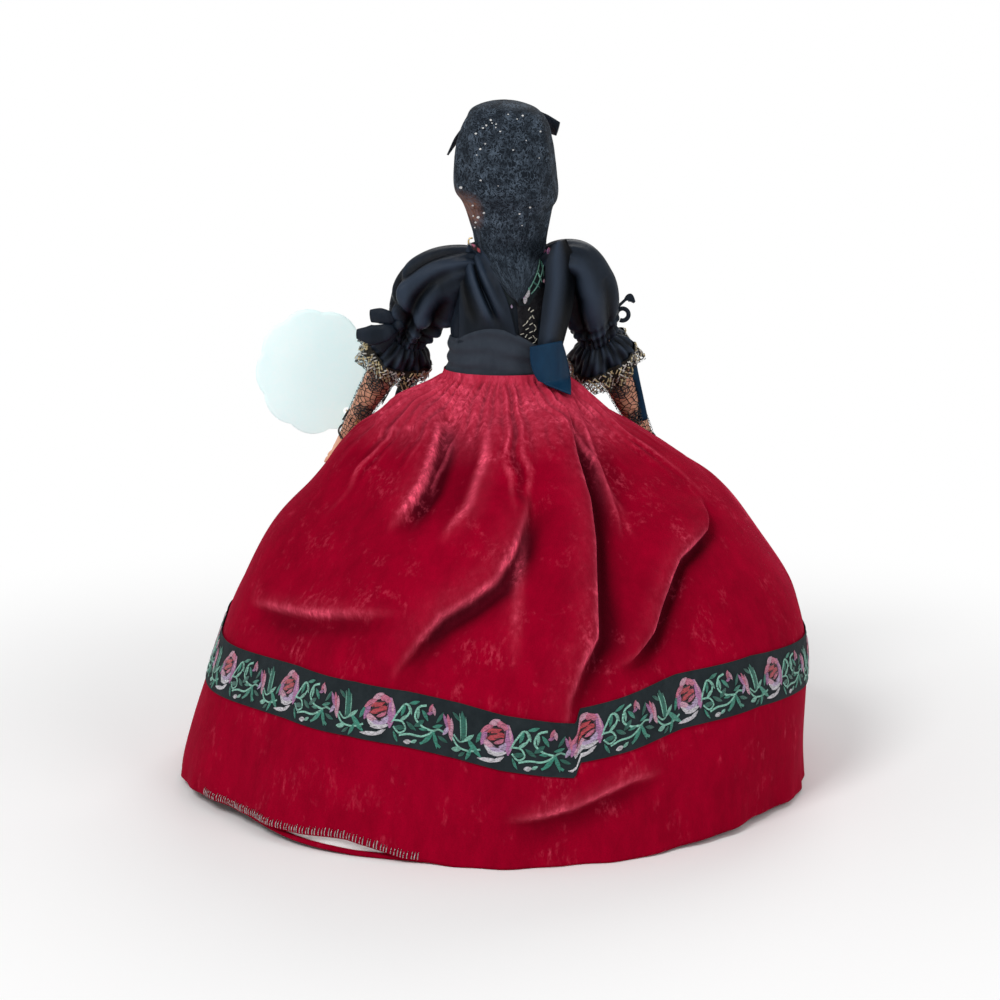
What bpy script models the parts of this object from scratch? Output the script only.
"""Topsy turvy doll: two half dolls sewn waist to waist, with one skirt that hides the lower one.

Metres, +Z up. The doll stands on its skirt hem, centred on the Z axis, and faces +Y.
Each half doll is modelled in its own frame, with the waist seam at zero and its head up.
"""
import math

import bmesh
import bpy
import numpy as np
from mathutils import Matrix, Vector

# Driving dimensions
waist_height = 0.163
half_height = 0.105
seam_height = 0.006
hem_radius = 0.127
skirt_top_radius = 0.0245
torso_radius = 0.0196
shoulder_rise = 0.036
shoulder_reach = 0.0255
arm_length = 0.110
head_width = 0.0336
head_depth = 0.0370
head_bottom = 0.0620
tag_width = 0.0496
tag_height = 0.0520
ribbon_width = 0.0190

# Thicknesses of the cloths and cards
velvet = 0.0015
lining_cloth = 0.0009
satin = 0.0011
ribbon_cloth = 0.0005
net_cloth = 0.0008
card = 0.0005
thread = 0.0007

# Clearances
seat_gap = 0.0003
fit_gap = 0.0004
lining_gap = 0.0006
overrun = 0.004
merge_distance = 0.00001

# Depth of a body section as a share of its width
depth_share = 0.74

body_sides = 20
upper_arm_sides = 14
lower_arm_sides = 10
skirt_sides = 48


def make_material(name, colour, roughness, metallic=0):
    """One Principled BSDF material."""
    material = bpy.data.materials.get(name)
    if material:
        return material
    material = bpy.data.materials.new(name)
    material.use_nodes = True
    shader = material.node_tree.nodes["Principled BSDF"]
    shader.inputs["Base Color"].default_value = (*colour, 1)
    shader.inputs["Roughness"].default_value = roughness
    shader.inputs["Metallic"].default_value = metallic
    return material


def finishes():
    """The doll's finishes, by name."""
    return {
        "velvet": make_material("red_velvet", (0.34, 0.0, 0.022), 0.8),
        "satin": make_material("black_satin", (0.012, 0.016, 0.024), 0.45),
        "navy": make_material("navy_satin", (0.012, 0.030, 0.075), 0.4),
        "charcoal": make_material("charcoal_cloth", (0.035, 0.042, 0.055), 0.7),
        "net": make_material("black_net", (0.016, 0.020, 0.028), 0.7),
        "gold_net": make_material("black_gold_net", (0.06, 0.05, 0.03), 0.5),
        "jacquard": make_material("jacquard_ribbon", (0.02, 0.06, 0.05), 0.6),
        "skin": make_material("moulded_skin", (0.78, 0.42, 0.28), 0.45),
        "calico": make_material("calico", (0.72, 0.62, 0.50), 0.85),
        "lining": make_material("white_lining", (0.85, 0.84, 0.82), 0.8),
        "hair": make_material("dark_hair", (0.045, 0.022, 0.012), 0.5),
        "gold": make_material("gold_metal", (0.9, 0.66, 0.24), 0.3, 1),
        "card": make_material("pale_card", (0.82, 0.90, 0.89), 0.6),
        "wire": make_material("steel_wire", (0.5, 0.5, 0.52), 0.35, 1),
    }


def fresh_collections():
    """Empty the scene and make one collection for the doll and one for its cutters."""
    for item in list(bpy.data.objects):
        bpy.data.objects.remove(item, do_unlink=True)
    doll = bpy.data.collections.new("topsy_turvy_doll")
    tools = bpy.data.collections.new("cutters")
    bpy.context.scene.collection.children.link(doll)
    bpy.context.scene.collection.children.link(tools)
    return doll, tools


def add_piece(name, data, finish, parent=None):
    """Add a named piece with one finish under a parent."""
    piece = bpy.data.objects.new(name, data)
    doll_collection.objects.link(piece)
    piece.parent = parent
    data.materials.clear()
    data.materials.append(finish)
    return piece


def add_cutter(name, data, parent=None):
    """Add a shape that only cuts others."""
    cutter = bpy.data.objects.new(name, data)
    cutter_collection.objects.link(cutter)
    cutter.parent = parent
    cutter.hide_render = True
    cutter.display_type = "WIRE"
    return cutter


def add_empty(name, place, turn, parent=None):
    """Add an empty that stands for a frame or a joint."""
    empty = bpy.data.objects.new(name, None)
    doll_collection.objects.link(empty)
    empty.parent = parent
    empty.location = place
    empty.rotation_euler = turn
    return empty


def cut(piece, cutter, operation="DIFFERENCE"):
    """Cut or join a piece with another shape."""
    modifier = piece.modifiers.new(cutter.name, "BOOLEAN")
    modifier.operation = operation
    modifier.solver = "EXACT"
    modifier.object = cutter


def thicken(piece, thickness, offset=1):
    """Give an open surface a wall."""
    modifier = piece.modifiers.new("wall", "SOLIDIFY")
    modifier.thickness = thickness
    modifier.offset = offset
    modifier.use_even_offset = True


def turned_mesh(name, profile, sides, depth_at=None):
    """Turn a profile of (radius, height) points about Z, then flatten it by depth_at(height).

    The profile starts at the top and runs down its outer side.
    """
    line = bpy.data.meshes.new(name)
    steps = [(index, index + 1) for index in range(len(profile) - 1)]
    if profile[0][0] > 0:
        closed = profile[0] == profile[-1]
        points = profile[:-1] if closed else profile
        if closed:
            steps[-1] = (len(points) - 1, 0)
    else:
        points = profile
    line.from_pydata([(radius, 0, height) for radius, height in points], steps, [])
    holder = bpy.data.objects.new(name, line)
    bpy.context.scene.collection.objects.link(holder)
    screw = holder.modifiers.new("turn", "SCREW")
    screw.steps = sides
    screw.render_steps = sides
    screw.use_merge_vertices = True
    screw.merge_threshold = merge_distance
    mesh = bpy.data.meshes.new_from_object(holder.evaluated_get(bpy.context.evaluated_depsgraph_get()))
    bpy.data.objects.remove(holder, do_unlink=True)
    bpy.data.meshes.remove(line)
    mesh.name = name
    if depth_at:
        for corner in mesh.vertices:
            corner.co.y *= depth_at(corner.co.z)
    mesh.shade_smooth()
    return mesh


def wrapped_mesh(name, columns, rows, place, closed, capped=False):
    """A grid primitive whose corners are moved by place(round_share, up_share)."""
    sheet = bmesh.new()
    bmesh.ops.create_grid(sheet, x_segments=columns, y_segments=rows, size=1)
    for corner in sheet.verts:
        corner.co = place((corner.co.x + 1) / 2, (corner.co.y + 1) / 2)
    if closed:
        bmesh.ops.remove_doubles(sheet, verts=sheet.verts, dist=merge_distance)
    if capped:
        rims = [edge for edge in sheet.edges if edge.is_boundary]
        bmesh.ops.holes_fill(sheet, edges=rims)
        bmesh.ops.recalc_face_normals(sheet, faces=sheet.faces)
    mesh = bpy.data.meshes.new(name)
    sheet.to_mesh(mesh)
    sheet.free()
    mesh.shade_smooth()
    mesh.set_sharp_from_angle(angle=math.radians(40))
    return mesh


def box_mesh(name, low, high):
    """A box between two corners."""
    block = bmesh.new()
    bmesh.ops.create_cube(block, size=1)
    for corner in block.verts:
        corner.co = [low[axis] + (corner.co[axis] + 0.5) * (high[axis] - low[axis]) for axis in range(3)]
    mesh = bpy.data.meshes.new(name)
    block.to_mesh(mesh)
    block.free()
    return mesh


def rod_mesh(name, radius, low, high, sides, along="Z"):
    """A cylinder from low to high along one axis through the origin."""
    rod = bmesh.new()
    bmesh.ops.create_cone(rod, cap_ends=True, segments=sides, radius1=radius, radius2=radius,
                          depth=high - low)
    bmesh.ops.translate(rod, verts=rod.verts, vec=(0, 0, (low + high) / 2))
    if along == "X":
        bmesh.ops.rotate(rod, verts=rod.verts, matrix=Matrix.Rotation(math.pi / 2, 3, "Y"))
    mesh = bpy.data.meshes.new(name)
    rod.to_mesh(mesh)
    rod.free()
    mesh.shade_smooth()
    mesh.set_sharp_from_angle(angle=math.radians(40))
    return mesh


def outline_curve(name, outlines, thickness, smooth):
    """A flat shape from closed outlines, the later ones holes, with a thickness."""
    curve = bpy.data.curves.new(name, "CURVE")
    curve.dimensions = "2D"
    curve.fill_mode = "BOTH"
    curve.extrude = thickness / 2
    curve.resolution_u = smooth
    for outline in outlines:
        spline = curve.splines.new("POLY")
        spline.points.add(len(outline) - 1)
        for point, (x, y) in zip(spline.points, outline):
            point.co = (x, y, 0, 1)
        spline.use_cyclic_u = True
    return curve


def offset_profile(profile, distance):
    """Move a profile outward along its own normals, its points on the axis staying there."""
    points = [Vector(point) for point in profile]
    moved = []
    for index, point in enumerate(points):
        before = points[max(index - 1, 0)]
        after = points[min(index + 1, len(points) - 1)]
        along = (after - before).normalized()
        outward = Vector((-along.y, along.x))
        if point.x == 0:
            outward = Vector((0, 1 if index == 0 else -1))
        moved.append(tuple(point + outward * distance))
    return moved


def bend_shares(profile):
    """Where a profile bends, as shares of its length."""
    points = [Vector(point) for point in profile]
    lengths = [(after - before).length for before, after in zip(points, points[1:])]
    return [sum(lengths[:count]) / sum(lengths) for count in range(1, len(lengths))]


def along_profile(profile, share):
    """The point and outward normal at a share of a profile's length from its first point."""
    points = [Vector(point) for point in profile]
    lengths = [(after - before).length for before, after in zip(points, points[1:])]
    target = share * sum(lengths)
    for index, length in enumerate(lengths):
        if target <= length or index == len(lengths) - 1:
            break
        target -= length
    within = min(target / lengths[index], 1)
    point = points[index].lerp(points[index + 1], within)

    def corner_normal(corner):
        before = points[max(corner - 1, 0)]
        after = points[min(corner + 1, len(points) - 1)]
        run = (after - before).normalized()
        return Vector((-run.y, run.x))

    normal = corner_normal(index).lerp(corner_normal(index + 1), within).normalized()
    return point, normal


# Skirt

skirt_depth_share = 0.776
header_height = 0.004
# The cloth bends sharply under its header, so an inset is longer there
header_corner_share = 1.16
fall_power = 2.6
flare_share = 0.07
round_rate = 7
band_bottom = 0.0400
band_top = band_bottom + ribbon_width
floor_cut = 0.0005
lift_height = 0.005

# Main folds of the skirt: direction in degrees from the back, half width in degrees,
# height as a share of the hem radius, share down the skirt where it is strongest, spread share
fold_shares = (
    (20, 9, 0.040, 0.62, 0.32),
    (33, 8, -0.036, 0.58, 0.26),
    (52, 11, 0.022, 0.60, 0.30),
    (-8, 9, -0.026, 0.55, 0.28),
    (-26, 10, 0.026, 0.45, 0.28),
    (-46, 11, -0.020, 0.62, 0.30),
    (78, 12, -0.016, 0.70, 0.30),
    (-80, 13, -0.014, 0.72, 0.18), (82, 20, 0.100, 0.42, 0.22), (-84, 18, 0.070, 0.10, 0.18),
    (125, 22, -0.078, 0.24, 0.30),
    (-125, 22, -0.078, 0.24, 0.30),
    (160, 12, 0.030, 0.60, 0.32),
    (180, 9, -0.026, 0.62, 0.32),
    (-160, 12, 0.030, 0.60, 0.32),
)
ripple_share = 0.010
ripple_count = 10

# Where the velvet hem lifts and shows the lining, in degrees from the back
lift_from = -50
lift_peak = -24
lift_to = -15


def fold_push(angle, down):
    """How far the folds push the skirt out, as a share of the hem radius."""
    push = ripple_share * down * math.cos(ripple_count * angle)
    for direction, width, height_share, centre_share, spread_share in fold_shares:
        turn = (math.degrees(angle) - direction + 180) % 360 - 180
        level = math.exp(-((down - centre_share) / spread_share) ** 2 / 2)
        fade = min(1, down / (centre_share / 2))
        push += height_share * level * fade * math.exp(-(turn / width) ** 2 / 2)
    return push


def skirt_spread(height):
    """How far down the skirt a height is, and how far it has spread there, as shares."""
    header_share = header_height / waist_height
    down = 1 - height / waist_height
    fall = max(0, (down - header_share) / (1 - header_share))
    return fall, (1 - flare_share) * (1 - (1 - min(fall, 1)) ** fall_power) + flare_share * fall ** 2


def uneven_skirt_point(angle, height):
    """A point on the face of the velvet, before its hem is centred on the axis."""
    fall, spread = skirt_spread(height)
    push = hem_radius * fold_push(angle, fall)
    roundness = 1 - (1 - skirt_depth_share) * math.exp(-round_rate * fall)
    across = skirt_top_radius + (hem_radius - skirt_top_radius) * spread + push
    deep = skirt_top_radius * roundness + (hem_radius - skirt_top_radius) * spread + push
    return Vector((across * math.sin(angle), -deep * math.cos(angle), height))


def hem_middle():
    """How far the folds carry the hem's middle off the axis."""
    turns = [2 * math.pi * column / skirt_sides - math.pi for column in range(skirt_sides)]
    hem = [uneven_skirt_point(turn, 0) for turn in turns]
    across = [point.x for point in hem]
    deep = [point.y for point in hem]
    return Vector(((min(across) + max(across)) / 2, (min(deep) + max(deep)) / 2, 0))


def skirt_point(angle, height):
    """A point on the outer face of the velvet, angle in radians from the back."""
    return uneven_skirt_point(angle, height) - off_middle * (1 - height / waist_height)


off_middle = hem_middle()


def skirt_normal(angle, height):
    """The outward direction of the velvet at a point."""
    small_turn = math.radians(1)
    small_rise = waist_height / 400
    top = min(height + small_rise, waist_height)
    around = skirt_point(angle + small_turn, height) - skirt_point(angle - small_turn, height)
    rise = skirt_point(angle, top) - skirt_point(angle, top - 2 * small_rise)
    return around.cross(rise).normalized()


def hem_lift(angle):
    """How far the velvet hem lifts off the floor."""
    turn = (math.degrees(angle) + 180) % 360 - 180
    if turn <= lift_from or turn >= lift_to:
        return 0
    if turn < lift_peak:
        return lift_height * (turn - lift_from) / (lift_peak - lift_from)
    return lift_height * (lift_to - turn) / (lift_to - lift_peak)


def skirt_levels():
    """Heights of the skirt's rows, from the hem to the waist."""
    upper_shares = (0.14, 0.30, 0.47, 0.64, 0.79, 0.91)
    clear = waist_height - header_height - band_top
    return [-floor_cut, band_bottom, band_top,
            *(band_top + share * clear for share in upper_shares),
            waist_height - header_height, waist_height]


def skirt_sheet(name, levels, inset, lifted):
    """The skirt's surface between two levels, set in or out from the face of the velvet."""
    def place(around, up):
        angle = (2 * around - 1) * math.pi
        height = levels[round(up * (len(levels) - 1))]
        corner_share = header_corner_share if height == waist_height - header_height else 1
        point = skirt_point(angle, height) - skirt_normal(angle, height) * inset * corner_share
        if height < 0 and lifted:
            point.z += hem_lift(angle)
        return point

    return wrapped_mesh(name, skirt_sides, len(levels) - 1, place, closed=True)


def stand_flat(piece, floor):
    """Bake a piece's wall and press what reaches below the floor flat."""
    seen = piece.evaluated_get(bpy.context.evaluated_depsgraph_get())
    mesh = bpy.data.meshes.new_from_object(seen)
    piece.modifiers.clear()
    piece.data = mesh
    for corner in mesh.vertices:
        corner.co.z = max(corner.co.z, floor)


def build_skirt(finish):
    """Velvet skirt, its jacquard band, its lining and the band they are gathered to."""
    levels = skirt_levels()
    skirt = add_piece("skirt", skirt_sheet("skirt", levels, 0, True), finish["velvet"])
    thicken(skirt, velvet, -1)
    stand_flat(skirt, 0)

    band_rows = [band_bottom, band_top]
    band_sheet = skirt_sheet("skirt_band", band_rows, -seat_gap, False)
    band = add_piece("skirt_band", band_sheet, finish["jacquard"])
    thicken(band, ribbon_cloth)

    lining_levels = [-floor_cut + seat_gap, *levels[2:6:2], *levels[6:]]
    lining_inset = velvet + lining_gap
    lining_sheet = skirt_sheet("skirt_lining", lining_levels, lining_inset, False)
    lining = add_piece("skirt_lining", lining_sheet, finish["lining"])
    thicken(lining, lining_cloth, -1)
    stand_flat(lining, seat_gap)

    inner = torso_profile()[len(torso_profile()) // 2][0] + fit_gap
    outer = skirt_top_radius - velvet - lining_gap - lining_cloth - fit_gap
    low = waist_height - seam_height
    ring = [(outer, waist_height), (outer, low), (inner, low), (inner, waist_height)]
    ring.append(ring[0])
    waistband = turned_mesh("waistband", ring, body_sides, body_depth)
    add_piece("waistband", waistband, finish["calico"])


# Torso, shoulder plates and what is worn on them, in the frame of a half doll

# Stuffed torso: shares of the torso radius and of the torso's rise above the waist
torso_shares = ((0.66, 1.0), (0.90, 0.95), (1.0, 0.83), (0.985, 0.50), (0.945, 0.0))
torso_rise = 0.0415

plate_radius = 0.0146
neck_radius = 0.0060
peg_radius = 0.0042
peg_length = 0.0065
# Shoulder plate: shares of the plate radius and of the rise from the torso to the neck's root
plate_shares = ((0.41, 1.0), (0.52, 0.76), (0.74, 0.50), (0.95, 0.20), (1.0, 0.0))
plate_rise = 0.0090

rod_radius = 0.0008

bodice_neck_radius = 0.0100
bodice_neck_rise = 0.0062
armhole_radius = 0.0080
sash_height = 0.0127
sash_radius = 0.0235
# Neck ribbon: top and depth at the sides as shares down the bodice, how much deeper its
# points are, and the least step between its rows
collar_top_share = 0.02
collar_side_share = 0.18
collar_point_share = 0.44
collar_step_share = 0.01
inset_top_share = 0.48
inset_bottom_share = 0.69
inset_turn = 20
inset_width = 24


def body_depth(height):
    """Depth share of the torso, the same at every height."""
    return depth_share


def plate_depth(height):
    """Depth share of the plate and the bodice: flat over the torso, round at the neck."""
    level = (height - torso_rise - seat_gap) / plate_rise
    return depth_share + (1 - depth_share) * min(1, max(0, level))


def half_torso():
    """Outer profile of the torso above the waist, top first."""
    return [(torso_radius * wide, torso_rise * up) for wide, up in torso_shares]


def torso_profile():
    """Both halves of the stuffed torso, from the upper shoulders to the lower ones."""
    upper = [(radius, waist_height + up) for radius, up in half_torso()]
    lower = [(radius, waist_height - seam_height - up) for radius, up in reversed(half_torso())]
    return upper + lower


def build_torso(finish):
    """Stuffed torso that both half dolls share, bored for the arm rods."""
    profile = torso_profile()
    closed = [(0, profile[0][1]), *profile, (0, profile[-1][1])]
    torso = add_piece("torso", turned_mesh("torso", closed, body_sides, body_depth), finish["calico"])
    for frame in (upper_half, lower_half):
        bore = rod_mesh("rod_bore", rod_radius + fit_gap, -shoulder_reach, shoulder_reach, 8, "X")
        bore_cutter = add_cutter("rod_bore", bore, frame)
        bore_cutter.location.z = shoulder_rise
        cut(torso, bore_cutter)


def bodice_profile():
    """Inner face of the bodice, from the neck edge down to the waist."""
    plate = [(plate_radius * wide, torso_rise + seat_gap + plate_rise * up) for wide, up in plate_shares]
    plate = offset_profile(plate, fit_gap)[2:]
    body = offset_profile(half_torso(), fit_gap)[1:-1]
    foot = (half_torso()[-1][0] + fit_gap, 2 * fit_gap)
    return plate + body + [foot]


def dressed_point(turn, share, offset):
    """A point on the bodice at a turn from the back and a share down from the neck."""
    point, normal = along_profile(bodice_profile(), share)
    depth = plate_depth(point.y)
    place = Vector((point.x * math.sin(turn), -point.x * math.cos(turn) * depth, point.y))
    outward = Vector((normal.x * math.sin(turn), -normal.x * math.cos(turn) / depth, normal.y))
    return place + outward.normalized() * offset


def build_plate(suffix, frame, finish):
    """Moulded shoulder plate with its neck and the peg that the head turns on."""
    base = torso_rise + seat_gap
    neck_top = head_bottom - seat_gap
    profile = [(0, neck_top + peg_length), (peg_radius, neck_top + peg_length), (peg_radius, neck_top),
               (neck_radius, neck_top)]
    profile += [(plate_radius * wide, base + plate_rise * up) for wide, up in plate_shares]
    profile.append((0, base))
    mesh = turned_mesh("shoulder_plate" + suffix, profile, body_sides, plate_depth)
    add_piece("shoulder_plate" + suffix, mesh, finish["skin"], frame)


def build_bodice(suffix, frame, cloth):
    """Bodice over the torso and the plate, with a round armhole at each side."""
    mesh = turned_mesh("bodice" + suffix, bodice_profile(), body_sides, plate_depth)
    bodice = add_piece("bodice" + suffix, mesh, cloth, frame)
    thicken(bodice, satin)
    for side in (-1, 1):
        inner = side * shoulder_reach * 0.6
        outer = side * (shoulder_reach + overrun)
        hole = rod_mesh("armhole", armhole_radius, min(inner, outer), max(inner, outer), 14, "X")
        hole_cutter = add_cutter("armhole", hole, frame)
        hole_cutter.location.z = shoulder_rise
        cut(bodice, hole_cutter)


def build_collar(suffix, frame, cloth):
    """Ribbon round the neck opening, with a point at the back and the front."""
    bends = bend_shares(bodice_profile())[:-1]
    row_shares = [collar_top_share, *bends, collar_side_share + collar_point_share]
    rows = len(row_shares) - 1

    def place(around, up):
        turn = (2 * around - 1) * math.pi
        index = round((1 - up) * rows)
        bottom = collar_side_share + collar_point_share * abs(math.cos(turn)) ** 5
        share = min(row_shares[index], bottom - collar_step_share * (rows - index))
        return dressed_point(turn, share, satin + fit_gap)

    mesh = wrapped_mesh("neck_ribbon" + suffix, body_sides, rows, place, True)
    ribbon = add_piece("neck_ribbon" + suffix, mesh, cloth, frame)
    thicken(ribbon, ribbon_cloth)


def build_inset(frame, finish):
    """Black and gold net panel in the V of the back."""
    def place(around, up):
        turn = math.radians(inset_turn + inset_width * (around - 1 / 2))
        top = inset_top_share + 0.10 * (around - 1 / 2)
        share = inset_bottom_share + (top - inset_bottom_share) * up
        return dressed_point(turn, share, satin + ribbon_cloth + 2 * fit_gap + seat_gap)

    inset = add_piece("lace_inset", wrapped_mesh("lace_inset", 4, 3, place, False), finish["gold_net"], frame)
    thicken(inset, ribbon_cloth)


def build_sash(suffix, frame, low, height, radius, cloth):
    """Wrapped waist sash."""
    room = fit_gap + satin / depth_share + fit_gap
    widen_share = torso_shares[-2][0] - torso_shares[-1][0]
    foot_level = low / (torso_rise * torso_shares[-2][1])
    inner_top = torso_radius * torso_shares[-2][0] + room
    inner_foot = torso_radius * (torso_shares[-1][0] + widen_share * foot_level) + room
    edge = radius - satin / 3
    ring = [(edge, low + height), (radius, low + height * 0.6), (radius, low + height * 0.2), (edge, low),
            (inner_foot, low), (inner_top, low + height)]
    ring.append(ring[0])
    mesh = turned_mesh("sash" + suffix, ring, body_sides, body_depth)
    add_piece("sash" + suffix, mesh, cloth, frame)


def build_sash_end(frame, finish):
    """Navy end of the sash, folded over its right back."""
    first = math.radians(18)
    last = math.radians(70)
    radius = sash_radius + fit_gap
    low = 3 * fit_gap
    high = sash_height * 0.85

    def place(around, up):
        turn = first + around * (last - first)
        height = low + (high - low) * up - up * around * sash_height * 0.2
        return Vector((radius * math.sin(turn), -radius * depth_share * math.cos(turn), height))

    end = add_piece("sash_end", wrapped_mesh("sash_end", 8, 3, place, False), finish["navy"], frame)
    thicken(end, ribbon_cloth)


# Head, hair and snood, in the frame of a half doll

hair_room = 0.0016
head_rise = half_height - head_bottom - hair_room
head_forward = 0.0020
hair_back = -0.0015
hair_depth_share = 1.08
hairline_tilt = 12
hairline_share = 0.4348
hairline_height = head_bottom + head_rise * hairline_share
hairline_forward = 0.0040
earring_radius = 0.0019
earring_wire = 0.00035
tail_length = 0.0316
tail_half_depth = 0.0048
tail_stand_depth = 0.0060
tail_side_reach = 0.0060

# Snood: half width as a share of its widest, and height as a share of its rise over the nape
snood_half_width = 0.0205
nape_height = 0.0515
snood_shares = (
    (0.0, 1.0), (0.45, 0.98), (0.78, 0.90), (0.96, 0.71), (1.0, 0.50), (0.95, 0.33),
    (0.79, 0.15), (0.69, 0.0),
)

# Face: side, forward and height of each swelling as shares of half the head's size,
# its spread share and its push as a share of the head's width
face_shares = (
    (0.0, 1.0, -0.12, 0.16, 0.095),
    (0.0, 1.0, -0.72, 0.24, 0.050),
    (0.0, 1.0, -0.42, 0.16, 0.028),
    (0.42, 0.85, -0.20, 0.26, 0.020),
    (-0.42, 0.85, -0.20, 0.26, 0.020),
    (0.34, 0.92, 0.10, 0.15, -0.028),
    (-0.34, 0.92, 0.10, 0.15, -0.028),
)
jaw_share = 0.16
# Snood's tail: share down its length, half width as a share of the snood's, and its half depth,
# sideways reach and place behind the torso as shares of the tail's own sizes
tail_shares = (
    (0.0, 0.68, 1.0, 0.0, -0.217), (0.11, 0.70, 0.625, 0.0, 0.483), (0.40, 0.46, 0.458, 0.0, 0.90),
    (0.67, 0.27, 0.333, 0.333, 1.0), (1.0, 0.07, 0.1875, 1.0, 0.95),
)


def snood_profile(inset):
    """Outer face of the snood, or a face set in from it."""
    rise = half_height - nape_height
    profile = [(snood_half_width * wide, nape_height + rise * up) for wide, up in snood_shares]
    return offset_profile(profile, -inset)


def skull_mesh(name, grow, segments, rings):
    """Egg of the skull, grown all round by a length."""
    egg = bmesh.new()
    bmesh.ops.create_uvsphere(egg, u_segments=segments, v_segments=rings, radius=1)
    half = Vector((head_width / 2 + grow, head_depth / 2 + grow, head_rise / 2 + grow))
    for corner in egg.verts:
        unit = corner.co.copy()
        narrow = 1 - jaw_share * max(0, -unit.z)
        centre = Vector((0, head_forward, head_bottom + head_rise / 2 - seat_gap))
        corner.co = centre + Vector((unit.x * half.x * narrow, unit.y * half.y, unit.z * half.z))
    mesh = bpy.data.meshes.new(name)
    egg.to_mesh(mesh)
    egg.free()
    return mesh


def build_head(suffix, frame, segments, rings, finish):
    """Moulded head with a plain face, its socket cut to turn on the neck's peg."""
    mesh = skull_mesh("head" + suffix, 0, segments, rings)
    centre = Vector((0, head_forward, head_bottom + head_rise / 2 - seat_gap))
    half = Vector((head_width / 2, head_depth / 2, head_rise / 2))
    for corner in mesh.vertices:
        local = corner.co - centre
        unit = Vector(local[axis] / half[axis] for axis in range(3))
        for side_share, forward_share, up_share, spread_share, push_share in face_shares:
            apart = (unit - Vector((side_share, forward_share, up_share))).length
            corner.co.y += head_width * push_share * math.exp(-(apart / spread_share) ** 2 / 2)
    mesh.shade_smooth()
    head = add_piece("head" + suffix, mesh, finish["skin"], frame)
    wide = head_width
    floor = box_mesh("head_floor", (-wide, -wide, head_bottom - wide), (wide, wide, head_bottom))
    cut(head, add_cutter("head_floor" + suffix, floor, frame))
    low = head_bottom - overrun
    high = head_bottom + peg_length + fit_gap
    socket = rod_mesh("socket", peg_radius + fit_gap, low, high, body_sides)
    cut(head, add_cutter("socket" + suffix, socket, frame))


def face_box(name, frame, forward):
    """Tilted block in front of the hairline, which cuts the face clear."""
    size = half_height
    block = add_cutter(name, box_mesh(name, (-size, 0, -size), (size, size, size)), frame)
    block.location = (0, hairline_forward + forward, hairline_height)
    block.rotation_euler.x = -math.radians(hairline_tilt)
    return block


def build_hair(suffix, frame, finish, foot):
    """Hair round the skull and down the nape, open at the face."""
    profile = snood_profile(net_cloth + seat_gap)
    profile[-1] = (profile[-1][0], foot)
    profile.append((0, foot))
    mesh = turned_mesh("hair" + suffix, profile, body_sides)
    for corner in mesh.vertices:
        corner.co.y = corner.co.y * hair_depth_share + hair_back
    hair = add_piece("hair" + suffix, mesh, finish["hair"], frame)
    cut(hair, add_cutter("skull_room" + suffix, skull_mesh("skull_room", 2 * fit_gap, 16, 10), frame))
    room = rod_mesh("neck_room", neck_radius + fit_gap, foot - overrun, head_bottom + overrun, body_sides)
    cut(hair, add_cutter("neck_room" + suffix, room, frame))
    cut(hair, face_box("hair_face" + suffix, frame, 0))


def build_snood_cap(frame, finish):
    """Net cap over the hair, open at the face."""
    mesh = turned_mesh("snood_cap", snood_profile(net_cloth), body_sides)
    for corner in mesh.vertices:
        corner.co.y = corner.co.y * hair_depth_share + hair_back
    shell = bmesh.new()
    shell.from_mesh(mesh)
    tilt = math.radians(hairline_tilt)
    everything = shell.verts[:] + shell.edges[:] + shell.faces[:]
    bmesh.ops.bisect_plane(shell, geom=everything, clear_outer=True,
                           plane_co=(0, hairline_forward - seat_gap, hairline_height),
                           plane_no=(0, math.cos(tilt), -math.sin(tilt)))
    shell.to_mesh(mesh)
    shell.free()
    cap = add_piece("snood_cap", mesh, finish["net"], frame)
    thicken(cap, net_cloth - seat_gap)


def build_snood_tail(frame, finish):
    """Net tail that hangs between the shoulders and ends in a point."""
    top = nape_height - seat_gap
    back = torso_radius * depth_share
    count = len(tail_shares)

    def place(around, up):
        down, wide_share, deep_share, side_share, stand_share = tail_shares[round((1 - up) * (count - 1))]
        turn = 2 * math.pi * around
        return Vector((tail_side_reach * side_share + snood_half_width * wide_share * math.cos(turn),
                       -back - tail_stand_depth * stand_share + tail_half_depth * deep_share * math.sin(turn),
                       top - tail_length * down))

    mesh = wrapped_mesh("snood_tail", 16, count - 1, place, True, capped=True)
    add_piece("snood_tail", mesh, finish["net"], frame)


# Bow outline: shares of its half width and half height, one lobe; and the slit in the lobe
bow_lobe_shares = ((0.10, 0.30), (0.42, 0.80), (0.85, 1.0), (1.0, 0.55), (1.0, -0.45), (0.85, -0.9),
                   (0.42, -0.70), (0.10, -0.30))
bow_slit_shares = ((0.38, 0.0), (0.80, 0.50), (0.86, 0.0), (0.80, -0.42))
bow_tail_shares = ((0.10, -0.30), (0.62, -1.75), (0.40, -2.0), (0.02, -0.45))


def bow_curve(name, half_width, half_height, thickness):
    """Flat ribbon bow with two open lobes and two tails."""
    right = [*bow_lobe_shares[:-1], *bow_tail_shares]
    left = [(-across, up) for across, up in reversed(right)]
    outline = [(half_width * across, half_height * up) for across, up in right + left]
    slits = []
    for side in (-1, 1):
        slits.append([(side * half_width * across, half_height * up) for across, up in bow_slit_shares])
    return outline_curve(name, [outline, *slits], thickness, 1)


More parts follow.
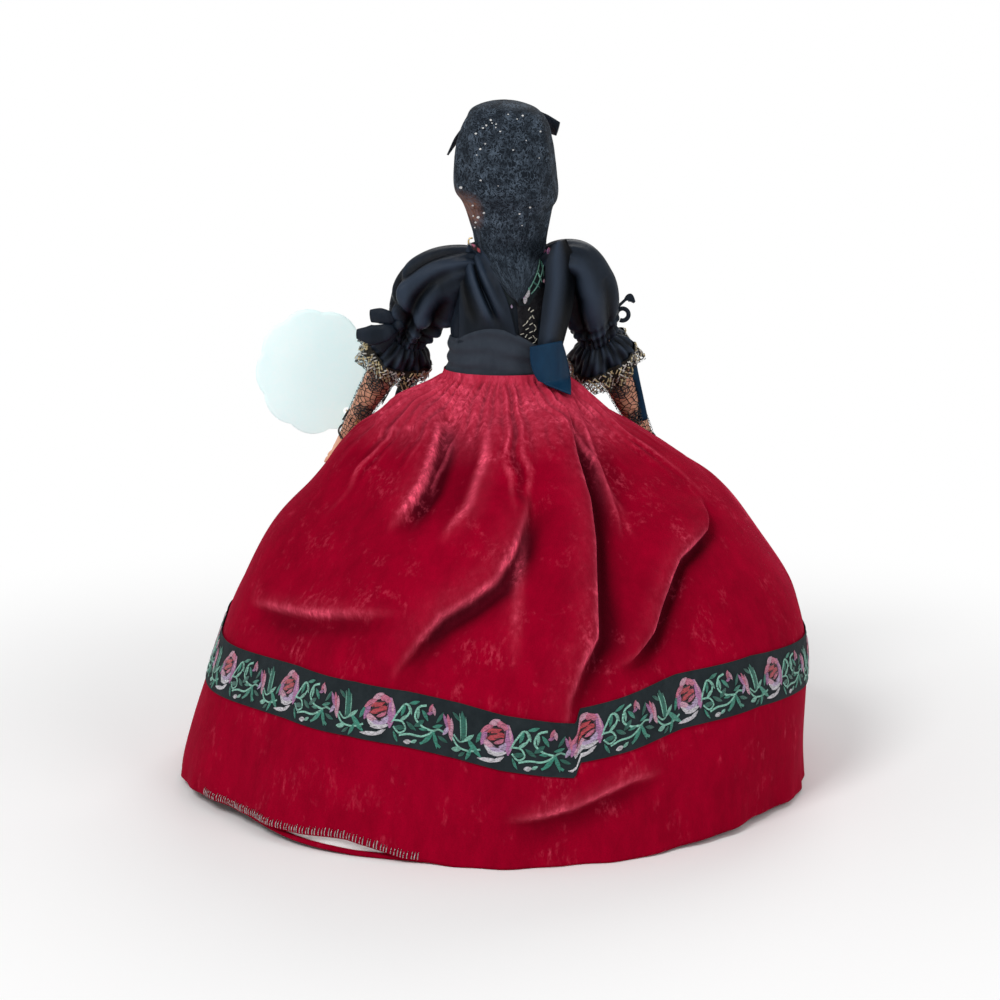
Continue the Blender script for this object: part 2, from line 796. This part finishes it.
def build_head_bow(frame, finish):
    """Ribbon bow on the front of the hair."""
    bow_half_width = 0.0222
    bow_half_height = 0.0046
    bow_thickness = 0.0012
    bow_rise_share = 0.574
    curve = bow_curve("head_bow", bow_half_width, bow_half_height, bow_thickness)
    bow = add_piece("head_bow", curve, finish["satin"], frame)
    # It stands off the skull by its gap, square to the skull's face there
    out_share = math.sqrt(1 - bow_rise_share ** 2)
    middle = Vector((0, head_forward, head_bottom + head_rise / 2 - seat_gap))
    touch = Vector((0, head_depth / 2 * out_share, head_rise / 2 * bow_rise_share))
    outward = Vector((0, out_share / head_depth, bow_rise_share / head_rise)).normalized()
    bow.location = middle + touch + outward * (bow_thickness / 2 + fit_gap)
    bow.rotation_euler.x = math.pi / 2 + math.atan2(outward.z, outward.y)


def build_earrings(frame, finish):
    """Gold hoops at the edge of the hair."""
    earring_forward = 0.0056
    earring_share = 0.203
    earring_height = head_bottom + head_rise * earring_share
    # The skull's half width where the hoop's top comes nearest to it
    up_share = (earring_height + earring_radius - head_bottom + seat_gap) * 2 / head_rise - 1
    ahead_share = (earring_forward - head_forward) * 2 / head_depth
    narrow_share = 1 - jaw_share * max(0, -up_share)
    round_share = narrow_share * math.sqrt(max(0, 1 - up_share ** 2 - ahead_share ** 2))
    earring_side = head_width / 2 * round_share + fit_gap + earring_wire
    for side, name in ((-1, "earring_left"), (1, "earring_right")):
        bpy.ops.mesh.primitive_torus_add(major_radius=earring_radius, minor_radius=earring_wire,
                                         major_segments=10, minor_segments=4)
        hoop = bpy.context.object
        mesh = hoop.data
        bpy.data.objects.remove(hoop, do_unlink=True)
        mesh.shade_smooth()
        ring = add_piece(name, mesh, finish["gold"], frame)
        ring.location = (side * earring_side, earring_forward, earring_height)
        ring.rotation_euler.y = math.pi / 2


# Arms, in a frame at the shoulder whose -Z runs down the arm and +Y is forward

elbow = 0.0337
# Upper arm: radius and place along the arm as shares of its ball radius and of the elbow's distance
ball_radius = 0.0072
upper_arm_shares = ((0.0, 0.214), (0.50, 0.185), (0.86, 0.107), (0.97, 0.0), (0.94, -0.30),
                    (0.91, -0.75), (0.81, -1.0), (0.0, -1.0))
# Forearm and hand: share of the arm beyond the elbow, half width and half depth as shares of
# the forearm's radius
forearm_radius = 0.0062
forearm_shares = (
    (0.0, 0.96, 0.96), (0.20, 1.0, 1.0), (0.42, 0.86, 0.88), (0.66, 0.64, 0.70),
    (0.75, 0.42, 0.76), (0.84, 0.37, 0.82), (0.94, 0.29, 0.62), (1.0, 0.16, 0.30),
)
mitt_from_share = 0.20
mitt_to_share = 0.66
thumb_radius = 0.0014
thumb_length = 0.0085
finger_slit = 0.0005
cuff_fall_length = 0.0185
# Puffed sleeve: radius and place along the arm as shares of its widest radius and of the elbow
puff_radius = 0.0142
puff_shares = ((0.0, 0.356), (0.49, 0.320), (0.81, 0.202), (0.96, 0.03), (1.0, -0.19),
               (0.96, -0.44), (0.79, -0.70), (0.585, -0.93), (0.585, -0.965))


def upper_arm_profile():
    """Upper arm from its ball down to the elbow."""
    return [(ball_radius * wide, elbow * along) for wide, along in upper_arm_shares]


def forearm_section(share):
    """Distance, half width and half depth of the forearm at a share of its length."""
    for before, after in zip(forearm_shares, forearm_shares[1:]):
        if share <= after[0]:
            break
    within = (share - before[0]) / (after[0] - before[0])
    wide = before[1] + (after[1] - before[1]) * within
    deep = before[2] + (after[2] - before[2]) * within
    start = elbow + seat_gap
    return start + (arm_length - start) * share, forearm_radius * wide, forearm_radius * deep


def hand_way(side, turn_degrees, reach_share):
    """From a shoulder to where its hand ends, beside the skirt and an arm's length away."""
    shoulder = Vector((side * shoulder_reach, 0, waist_height + shoulder_rise))
    turn = math.radians(turn_degrees)
    low = 0
    high = waist_height
    for _ in range(50):
        height = (low + high) / 2
        spread = skirt_spread(height)[1]
        radius = reach_share * (skirt_top_radius + (hem_radius - skirt_top_radius) * spread)
        way = Vector((side * radius * math.sin(turn), radius * math.cos(turn), height)) - shoulder
        if way.length > arm_length:
            low = height
        else:
            high = height
    return way


def arm_frame(name, side, half, way):
    """Empty on the shoulder's axis whose -Z runs along the arm."""
    up = -way.normalized()
    ahead = Vector((0, 1, 0))
    ahead = (ahead - up * up.dot(ahead)).normalized()
    across = ahead.cross(up)
    turn = Matrix((across, ahead, up)).transposed()
    return add_empty(name, (side * shoulder_reach, 0, shoulder_rise), turn.to_euler(), half)


def outward_sign(frame, side):
    """Which way along the arm frame's X points away from the body."""
    across = frame.rotation_euler.to_matrix() @ Vector((1, 0, 0))
    return 1 if across.x * side > 0 else -1


def side_block(name, half, side, reach):
    """Block that cuts an arm's piece flat where it faces the body."""
    size = half_height
    low = (-size, -size, -size + shoulder_rise)
    high = (reach, size, size + shoulder_rise)
    if side < 0:
        low, high = (-high[0], low[1], low[2]), (-low[0], high[1], high[2])
    return add_cutter(name, box_mesh(name, low, high), half)


def build_upper_arm(name, frame, half, side, sides, finish):
    """Stuffed upper arm, flat against the torso and bored for the rod."""
    arm = add_piece(name, turned_mesh(name, upper_arm_profile(), sides), finish["calico"], frame)
    cut(arm, side_block(name + "_face", half, side, torso_radius + fit_gap + seat_gap))
    inner = side * (torso_radius - overrun)
    outer = side * (shoulder_reach + rod_radius)
    bore = rod_mesh(name + "_bore", rod_radius + fit_gap, min(inner, outer), max(inner, outer), 8, "X")
    bore_cutter = add_cutter(name + "_bore", bore, half)
    bore_cutter.location.z = shoulder_rise
    cut(arm, bore_cutter)


def build_forearm(name, frame, sides, finish):
    """Moulded forearm and hand, with a thumb."""
    count = len(forearm_shares)

    def place(around, up):
        share = forearm_shares[round((1 - up) * (count - 1))][0]
        distance, half_wide, half_deep = forearm_section(share)
        turn = 2 * math.pi * around
        return Vector((half_wide * math.cos(turn), half_deep * math.sin(turn), -distance))

    mesh = wrapped_mesh(name, sides, count - 1, place, True, capped=True)
    forearm = add_piece(name, mesh, finish["skin"], frame)
    palm_distance, palm_wide, palm_deep = forearm_section(0.80)
    thumb = rod_mesh(name + "_thumb", thumb_radius, -thumb_length, 0, 8)
    thumb_cutter = add_cutter(name + "_thumb", thumb, frame)
    thumb_cutter.location = (0, palm_deep - thumb_radius, -palm_distance + thumb_radius)
    thumb_cutter.rotation_euler.x = math.radians(26)
    cut(forearm, thumb_cutter, "UNION")
    return forearm


def cut_fingers(name, forearm, frame):
    """Slits between the fingers of a hand."""
    finger_start, finger_wide, finger_deep = forearm_section(0.88)
    for slot in (-1, 0, 1):
        middle = slot * finger_deep * 0.48
        low = (-forearm_radius, middle - finger_slit / 2, -arm_length - overrun)
        high = (forearm_radius, middle + finger_slit / 2, -finger_start)
        slit = box_mesh(name + "_slit", low, high)
        cut(forearm, add_cutter(name + "_slit", slit, frame))


def build_mitt(name, frame, finish):
    """Net mitt round the forearm, down to the wrist."""
    shares = [row[0] for row in forearm_shares if mitt_from_share <= row[0] <= mitt_to_share]

    def place(around, up):
        share = shares[round((1 - up) * (len(shares) - 1))]
        distance, half_wide, half_deep = forearm_section(share)
        turn = 2 * math.pi * around
        half_wide += fit_gap
        half_deep += fit_gap
        return Vector((half_wide * math.cos(turn), half_deep * math.sin(turn), -distance))

    mesh = wrapped_mesh(name, upper_arm_sides, len(shares) - 1, place, True)
    mitt = add_piece(name, mesh, finish["net"], frame)
    thicken(mitt, ribbon_cloth)


def build_sleeve(name, frame, half, side, sides, cloth, radius, length_share):
    """Puffed sleeve over the upper arm, flat where it meets the armhole."""
    least = ball_radius + fit_gap + satin
    outer = []
    for wide, along in puff_shares:
        if along < 0:
            outer.append((max(least, radius * wide), elbow * along * length_share))
        else:
            outer.append((radius * wide, elbow * along * radius / puff_radius))
    inner = offset_profile(upper_arm_profile()[:-2], fit_gap)
    foot = outer[-1][1]
    inner = [point for point in inner if point[1] > foot + fit_gap]
    inner_foot = (ball_radius * upper_arm_shares[5][0] + fit_gap, foot)
    profile = outer + [inner_foot] + list(reversed(inner))
    sleeve = add_piece(name, turned_mesh(name, profile, sides), cloth, frame)
    reach = torso_radius + fit_gap + satin + 2 * seat_gap
    cut(sleeve, side_block(name + "_face", half, side, reach))


def build_cuff(name, frame, side, finish):
    """Flounced cuff: it leaves the elbow along the arm and falls to a level hem."""
    cuff_top_radius = 0.0086
    cuff_hem_radius = 0.0162
    cuff_forward_length = 0.0068
    cuff_outward_length = 0.0065
    ruffle_depth = 0.0011
    ruffle_count = 7
    cuff_thickness = 0.0009
    turn_matrix = frame.rotation_euler.to_matrix()
    down = turn_matrix.transposed() @ Vector((0, 0, -1))
    ahead = turn_matrix.transposed() @ Vector((0, 1, 0))
    outward = turn_matrix.transposed() @ Vector((side, 0, 0))
    start = Vector((0, 0, -elbow * 0.985))
    finish_centre = start + down * cuff_fall_length + ahead * cuff_forward_length
    finish_centre += outward * cuff_outward_length

    def place(around, up):
        fall = 1 - up
        turn = 2 * math.pi * around
        axis = (Vector((0, 0, -1)).lerp(down, fall)).normalized()
        first = (Vector((1, 0, 0)) - axis * axis.x).normalized()
        second = first.cross(axis)
        radius = cuff_top_radius + (cuff_hem_radius - cuff_top_radius) * math.sin(fall * math.pi / 2) ** 0.8
        radius += ruffle_depth * fall * math.cos(ruffle_count * turn)
        centre = start.lerp(finish_centre, fall)
        return centre + first * radius * math.cos(turn) - second * radius * math.sin(turn)

    cuff = add_piece(name, wrapped_mesh(name, 28, 3, place, True), finish["gold_net"], frame)
    thicken(cuff, cuff_thickness, -1)


def build_sleeve_bow(name, frame, outward, down_share, size_share, finish):
    """Satin bow that stands on the outer side of a sleeve, its tails outward."""
    bow_half_width = 0.0085 * size_share
    bow_half_height = 0.0035 * size_share
    bow_thickness = 0.0010
    sleeve_taper = 22
    curve = bow_curve(name, bow_half_width, bow_half_height, bow_thickness)
    bow = add_piece(name, curve, finish["satin"], frame)
    taper = math.radians(sleeve_taper)
    along = Vector((-outward * math.sin(taper), 0, -math.cos(taper)))
    inward = Vector((-outward * math.cos(taper), 0, math.sin(taper)))
    bow.rotation_euler = Matrix((along, inward, along.cross(inward))).transposed().to_euler()
    stand = puff_radius * 0.90 + fit_gap + bow_half_height
    bow.location = (outward * stand, 0, -elbow * down_share)


def build_streamer(name, frame, way, spare_length, start_share, finish):
    """Ribbon streamer that lies beside the mitt."""
    streamer_width = 0.0060
    streamer_length = 0.020
    sideways = way * (forearm_radius + 2 * fit_gap + ribbon_cloth + streamer_width / 2 + spare_length)
    start = elbow + cuff_fall_length * start_share
    low = (sideways - streamer_width / 2, -ribbon_cloth / 2, -start - streamer_length)
    high = (sideways + streamer_width / 2, ribbon_cloth / 2, -start)
    streamer = add_piece(name, box_mesh(name, low, high), finish["navy"], frame)
    return streamer


def build_upper_arm_set(side, name, frame, finish):
    """Arm, sleeve, cuff and mitt of the upper doll."""
    build_upper_arm("upper_arm_" + name, frame, upper_half, side, upper_arm_sides, finish)
    forearm = build_forearm("forearm_" + name, frame, upper_arm_sides, finish)
    cut_fingers("forearm_" + name, forearm, frame)
    build_mitt("mitt_" + name, frame, finish)
    build_sleeve("sleeve_" + name, frame, upper_half, side, upper_arm_sides, finish["satin"], puff_radius, 1)
    build_cuff("cuff_" + name, frame, side, finish)


# Tag and its thread: the tag's hole in the arm's frame as shares of the arm's length, and the
# tag's middle beside its hole as shares of its own width and height

tag_hole_shares = (-0.03648, 0.13145, -0.83839)
tag_side_share = -0.2560
tag_up_share = 0.3211
tag_hole_radius = 0.0018
tag_lobes = 9
tag_lobe_share = 0.05
tag_points = 54
hole_points = 10


def tag_hole_place(frame):
    """The tag's hole in the world."""
    bpy.context.view_layer.update()
    return frame.matrix_world @ (Vector(tag_hole_shares) * arm_length)


def build_tag(frame, finish):
    """Bare card with a scalloped edge, which swings on the thread through its hole."""
    pivot = add_empty("tag_pivot", (0, 0, 0), (0, 0, 0))
    pivot.location = tag_hole_place(frame)
    bpy.context.view_layer.update()
    pivot.parent = frame
    pivot.matrix_parent_inverse = frame.matrix_world.inverted()
    outline = []
    for index in range(tag_points):
        turn = 2 * math.pi * index / tag_points
        lobe = 1 - tag_lobe_share + 2 * tag_lobe_share * abs(math.sin(tag_lobes * turn / 2))
        x = tag_width * tag_side_share + tag_width / 2 * lobe * math.cos(turn)
        z = tag_height * tag_up_share + tag_height / 2 * lobe * math.sin(turn)
        outline.append((x, z))
    hole = []
    for index in range(hole_points):
        turn = 2 * math.pi * index / hole_points
        hole.append((tag_hole_radius * math.cos(turn), tag_hole_radius * math.sin(turn)))
    curve = outline_curve("tag", [outline, hole], card, 1)
    tag = add_piece("tag", curve, finish["card"], pivot)
    tag.rotation_euler.x = math.pi / 2


def build_tag_thread(frame, finish):
    """Gold thread, once round the wrist and through the hole of the tag."""
    wrist_share = 0.665
    wrist_distance, wrist_wide, wrist_deep = forearm_section(wrist_share)
    loop_radius = max(wrist_wide, wrist_deep) + fit_gap + ribbon_cloth + 2 * fit_gap + thread / 2
    edge_reach = 0.0086
    thread_clear = 0.0011
    tag_hole = tag_hole_place(frame)
    turn_matrix = frame.matrix_world.to_3x3()
    arm_way = turn_matrix @ Vector((0, 0, -1))
    wrist = frame.matrix_world @ Vector((0, 0, -wrist_distance))
    toward = tag_hole - wrist
    first = (toward - arm_way * toward.dot(arm_way)).normalized()
    second = arm_way.cross(first)
    points = []
    for degrees in range(35, 330, 42):
        turn = math.radians(degrees)
        points.append(wrist + first * loop_radius * math.cos(turn) + second * loop_radius * math.sin(turn))
    ahead = Vector((0, thread_clear, 0))
    edge_way = Vector((1, 0, -1)).normalized()
    points += [tag_hole - ahead, tag_hole, tag_hole + ahead]
    points += [tag_hole + edge_way * edge_reach / 2 + ahead, tag_hole + edge_way * edge_reach + ahead * 0.5,
               tag_hole + edge_way * edge_reach * 0.86 - ahead * 1.6]
    curve = bpy.data.curves.new("tag_thread", "CURVE")
    curve.dimensions = "3D"
    curve.bevel_depth = thread / 2
    curve.bevel_resolution = 0
    curve.resolution_u = 3
    spline = curve.splines.new("BEZIER")
    spline.bezier_points.add(len(points) - 1)
    for knot, point in zip(spline.bezier_points, points):
        knot.co = point
        knot.handle_left_type = "AUTO"
        knot.handle_right_type = "AUTO"
    spline.use_cyclic_u = True
    piece = add_piece("tag_thread", curve, finish["gold"])
    piece.parent = frame
    piece.matrix_parent_inverse = frame.matrix_world.inverted()


def build_rod(suffix, half, finish):
    """Wire rod through the torso that both arms turn on."""
    reach = shoulder_reach
    rod = rod_mesh("arm_rod" + suffix, rod_radius, -reach, reach, 8, "X")
    piece = add_piece("arm_rod" + suffix, rod, finish["wire"], half)
    piece.location.z = shoulder_rise


def build_upper_doll(finish):
    """The half doll that the skirt leaves in view."""
    neck = add_empty("upper_neck_joint", (0, 0, head_bottom), (0, 0, 0), upper_half)
    head_frame = add_empty("upper_head_frame", (0, 0, -head_bottom), (0, 0, 0), neck)
    build_plate("_upper", upper_half, finish)
    build_bodice("_upper", upper_half, finish["satin"])
    build_collar("_upper", upper_half, finish["jacquard"])
    build_inset(upper_half, finish)
    build_sash("_upper", upper_half, 2 * fit_gap, sash_height, sash_radius, finish["charcoal"])
    build_sash_end(upper_half, finish)
    build_snood_tail(upper_half, finish)
    build_rod("_upper", upper_half, finish)
    build_head("_upper", head_frame, 20, 14, finish)
    build_hair("_upper", head_frame, finish, nape_height + seat_gap)
    build_snood_cap(head_frame, finish)
    build_head_bow(head_frame, finish)
    build_earrings(head_frame, finish)
    left_turn = 55.264
    left_reach_share = 1.0987
    right_turn = 53.15
    right_reach_share = 0.9823
    left = arm_frame("left_shoulder_joint", -1, upper_half, hand_way(-1, left_turn, left_reach_share))
    right = arm_frame("right_shoulder_joint", 1, upper_half, hand_way(1, right_turn, right_reach_share))
    build_upper_arm_set(-1, "left", left, finish)
    build_upper_arm_set(1, "right", right, finish)
    left_bow_share = 0.668
    right_bow_share = 0.608
    right_size_share = 0.85
    build_sleeve_bow("sleeve_bow_left", left, outward_sign(left, -1), left_bow_share, 1, finish)
    build_sleeve_bow("sleeve_bow_right", right, outward_sign(right, 1), right_bow_share, right_size_share,
                     finish)
    spare_length = 0.0007
    left_start_share = 0.827
    right_start_share = 1.557
    build_streamer("streamer_left", left, -outward_sign(left, -1), 0, left_start_share, finish)
    build_streamer("streamer_right", right, outward_sign(right, 1), spare_length, right_start_share, finish)
    build_tag(left, finish)
    build_tag_thread(left, finish)


def build_lower_doll(finish):
    """The half doll that the skirt hides, its arms hanging beside its head."""
    lower_sash_start = 0.0032
    lower_sash_height = 0.0095
    lower_sash_radius = 0.0228
    lower_puff_radius = 0.0100
    lower_sleeve_share = 0.72
    neck = add_empty("lower_neck_joint", (0, 0, head_bottom), (0, 0, 0), lower_half)
    head_frame = add_empty("lower_head_frame", (0, 0, -head_bottom), (0, 0, 0), neck)
    build_plate("_lower", lower_half, finish)
    build_bodice("_lower", lower_half, finish["lining"])
    build_collar("_lower", lower_half, finish["jacquard"])
    build_sash("_lower", lower_half, lower_sash_start, lower_sash_height, lower_sash_radius,
               finish["velvet"])
    build_rod("_lower", lower_half, finish)
    build_head("_lower", head_frame, 18, 12, finish)
    build_hair("_lower", head_frame, finish, nape_height + seat_gap)
    lower_way_shares = (0.38, 0.06, 0.92)
    for side, name in ((1, "lower_left"), (-1, "lower_right")):
        way = Vector(lower_way_shares)
        way.x *= side
        frame = arm_frame(name + "_shoulder_joint", side, lower_half, way)
        build_upper_arm("upper_arm_" + name, frame, lower_half, side, lower_arm_sides, finish)
        build_forearm("forearm_" + name, frame, lower_arm_sides, finish)
        build_sleeve("sleeve_" + name, frame, lower_half, side, lower_arm_sides, finish["lining"],
                     lower_puff_radius, lower_sleeve_share)


doll_collection, cutter_collection = fresh_collections()
all_finishes = finishes()
upper_half = add_empty("upper_half", (0, 0, waist_height), (0, 0, 0))
lower_half = add_empty("lower_half", (0, 0, waist_height - seam_height), (0, math.pi, 0))
build_torso(all_finishes)
build_skirt(all_finishes)
build_upper_doll(all_finishes)
build_lower_doll(all_finishes)
